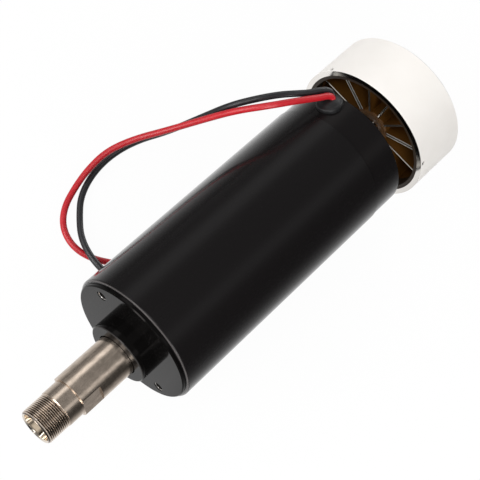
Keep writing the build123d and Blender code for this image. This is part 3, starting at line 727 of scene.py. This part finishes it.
def faceted(rows, clock, half, circle, count):
    """Grid of a bar with flats: radius is the least of circle and half / |cos(a - clock)| over each row
    (station, flat) where flat is true, and the circle elsewhere."""
    a = angles(count) + np.radians(clock)
    cut = np.minimum(circle, half / np.maximum(np.abs(np.cos(a - np.radians(clock))), 1e-6))
    r = np.array([cut if flat else np.full(a.shape, circle) for _, flat in rows])
    y = np.array([[station] for station, _ in rows]) + 0 * a
    return np.stack([r * np.sin(a), y, r * np.cos(a)], axis=-1)


def collet_nose():
    """Arbor with its collet socket: a bore, a taper of eight degrees a side, the threaded end, the neck, the
    round bar with two wrench flats, and at the back the socket that the shaft is pressed into."""
    fine, finer = 144, 240
    bore, bore_end, taper_end, socket_end = 3.6, -70.8, -82.8, -64.9
    arbor_back = -49.9
    socket = turned(
        outline(
            (0, bore_end),
            (bore, bore_end),
            (bore, taper_end),
            (3.78, taper_end),
            (5.69, -96.35),
            (6.2, NOSE_TIP),
            (6.25, NOSE_TIP),
        ),
        fine,
    )
    thread = threaded(NOSE_TIP, THREAD_END, THREAD_RADIUS, THREAD_DEPTH, 0.75, fine)
    neck = turned(
        outline((THREAD_RADIUS, THREAD_END), (NECK_RADIUS, THREAD_END), (NECK_RADIUS, NECK_END)), finer
    )
    rows = [(NECK_END, True), (FLATS_END, True), (FLATS_END, False), (arbor_back, False)]
    bar = faceted(rows, FLAT_CLOCK, FLAT_HALF, ARBOR_RADIUS, finer)
    face = bar[:1]
    scale = NECK_RADIUS / np.hypot(face[..., 0], face[..., 2])
    inner = face * np.stack([scale, np.ones_like(scale), scale], axis=-1)
    body = np.concatenate([inner, bar], axis=0)
    back = turned(outline((ARBOR_RADIUS, arbor_back), (4.0, arbor_back), (4.0, socket_end), (0, socket_end)), finer)
    piece("collet_nose", [socket, thread, neck, body, back], "arbor_steel", "rotor", ("chuck_arbor",), 24.0)


def grommet_lip():
    """Rubber grommet: a rounded flange on the bell round its outlet hole, with a low dome where the leads come
    out. In its own frame it is a profile (p, h) turned about the outlet's axis. The dome is a parabola, the
    lip a quarter circle, and the flange's foot follows the bell, h = sqrt(R^2 - (p sin a)^2)."""
    flange, lip_round, stem, stem_foot = 5.1, 0.9, 3.48, 18.0
    top, crown = BELL_RADIUS + 1.5, 1.2
    shoulder = flange - lip_round
    axis = np.array([np.sin(np.radians(GROMMET_CLOCK)), 0.0, np.cos(np.radians(GROMMET_CLOCK))])
    along = np.array([0.0, 1.0, 0.0])
    aside = np.cross(axis, along)
    bend = np.linspace(0.0, np.pi / 2, 9)
    lip = np.column_stack([shoulder + lip_round * np.sin(bend), top - lip_round + lip_round * np.cos(bend)])
    spread = np.linspace(0.0, shoulder, 10)
    dome = np.column_stack([spread, top + crown * (1.0 - (spread / shoulder) ** 2)])[:-1]
    profile = np.concatenate([dome, lip])
    a = angles(96)
    p, h = profile[:, :1] + 0 * a, profile[:, 1:2] + 0 * a
    foot = np.sqrt(BELL_RADIUS**2 - (flange * np.sin(a)) ** 2)[None, :]
    stem_top = np.sqrt(BELL_RADIUS**2 - (stem * np.sin(a)) ** 2)
    p = np.concatenate([p, flange + 0 * foot, np.array([[stem], [stem], [0.0]]) + 0 * a])
    h = np.concatenate([h, foot, np.array([stem_top, stem_foot + 0 * a, stem_foot + 0 * a])])
    grid = (
        (p * np.cos(a))[..., None] * along
        + (p * np.sin(a))[..., None] * aside
        + h[..., None] * axis
        + np.array([0.0, GROMMET_STATION, 0.0])
    )
    piece("grommet_lip", [grid], "black_rubber", "housing", ("lead_grommet",), 40.0)


def hexagon_nut():
    """Chamfered nut: radius is the least of half / cos of the angle off the nearest flat and a 30 degree cone."""
    half, start, end, cone = 6.5, 91.6, 96.6, 6.55
    mouth, thread, countersink = 4.6, 4.05, 0.55
    a = angles(180)
    off = np.mod(a + np.pi / 6, np.pi / 3) - np.pi / 6
    flat = half / np.cos(off)
    y = start + np.array([0.0, 0.15, 0.3, 0.45, 0.6])
    y = np.concatenate([y, (start + end) - y[::-1]])[:, None]
    depth = np.minimum(y - start, end - y)
    r = np.minimum(flat[None, :], cone + depth * 1.73)
    turn = a + np.pi / 6
    side = np.stack([r * np.sin(turn), y + 0 * a, r * np.cos(turn)], axis=-1)
    rim = np.stack([mouth * np.sin(turn), start + 0 * a, mouth * np.cos(turn)], axis=-1)[None]
    inner = [rim, side, rim + np.array([0.0, end - start, 0.0])]
    bore = turned(
        outline((mouth, end), (thread, end - countersink), (thread, start + countersink), (mouth, start)), 180
    )
    bore = np.roll(bore[:, :-1], -15, axis=1)
    bore = np.concatenate([bore, bore[:, :1]], axis=1)
    piece("hexagon_nut", [np.concatenate(inner), bore], "zinc_steel", "rotor", ("fan_nut",), 26.0)


collet_nose()
grommet_lip()
hexagon_nut()


# ---------------------------------------------------------------- pieces that keep their solids
def dressed(node):
    """Finish a solid as it is: a copy with its loose triangles merged and its round faces shaded smooth."""
    source = nodes[node].data
    points = np.empty(len(source.vertices) * 3)
    corners = np.empty(len(source.loops), int)
    source.vertices.foreach_get("co", points)
    source.loops.foreach_get("vertex_index", corners)
    mesh = bpy.data.meshes.new(f"{node}_surface")
    mesh.from_pydata(points.reshape(-1, 3).tolist(), [], corners.reshape(-1, 3).tolist())
    tidy_mesh(mesh, 24.0, 1e-6, False)
    place_piece(mesh.name, mesh, NODE_SLOT[node], NODE_BODY[node], (node,))


ROUND_NODES = (
    "motor_can",
    "front_end_bell",
    "rear_end_bell",
    "fan_ring",
    "fan_impeller",
    "fan_spacer",
    "fan_washer",
)
for node, solid in nodes.items():
    solid.data.materials.clear()
    solid.data.materials.append(FINISHES[NODE_SLOT[node]])
for node in ROUND_NODES:
    dressed(node)

bpy.context.scene.view_settings.view_transform = "Standard"
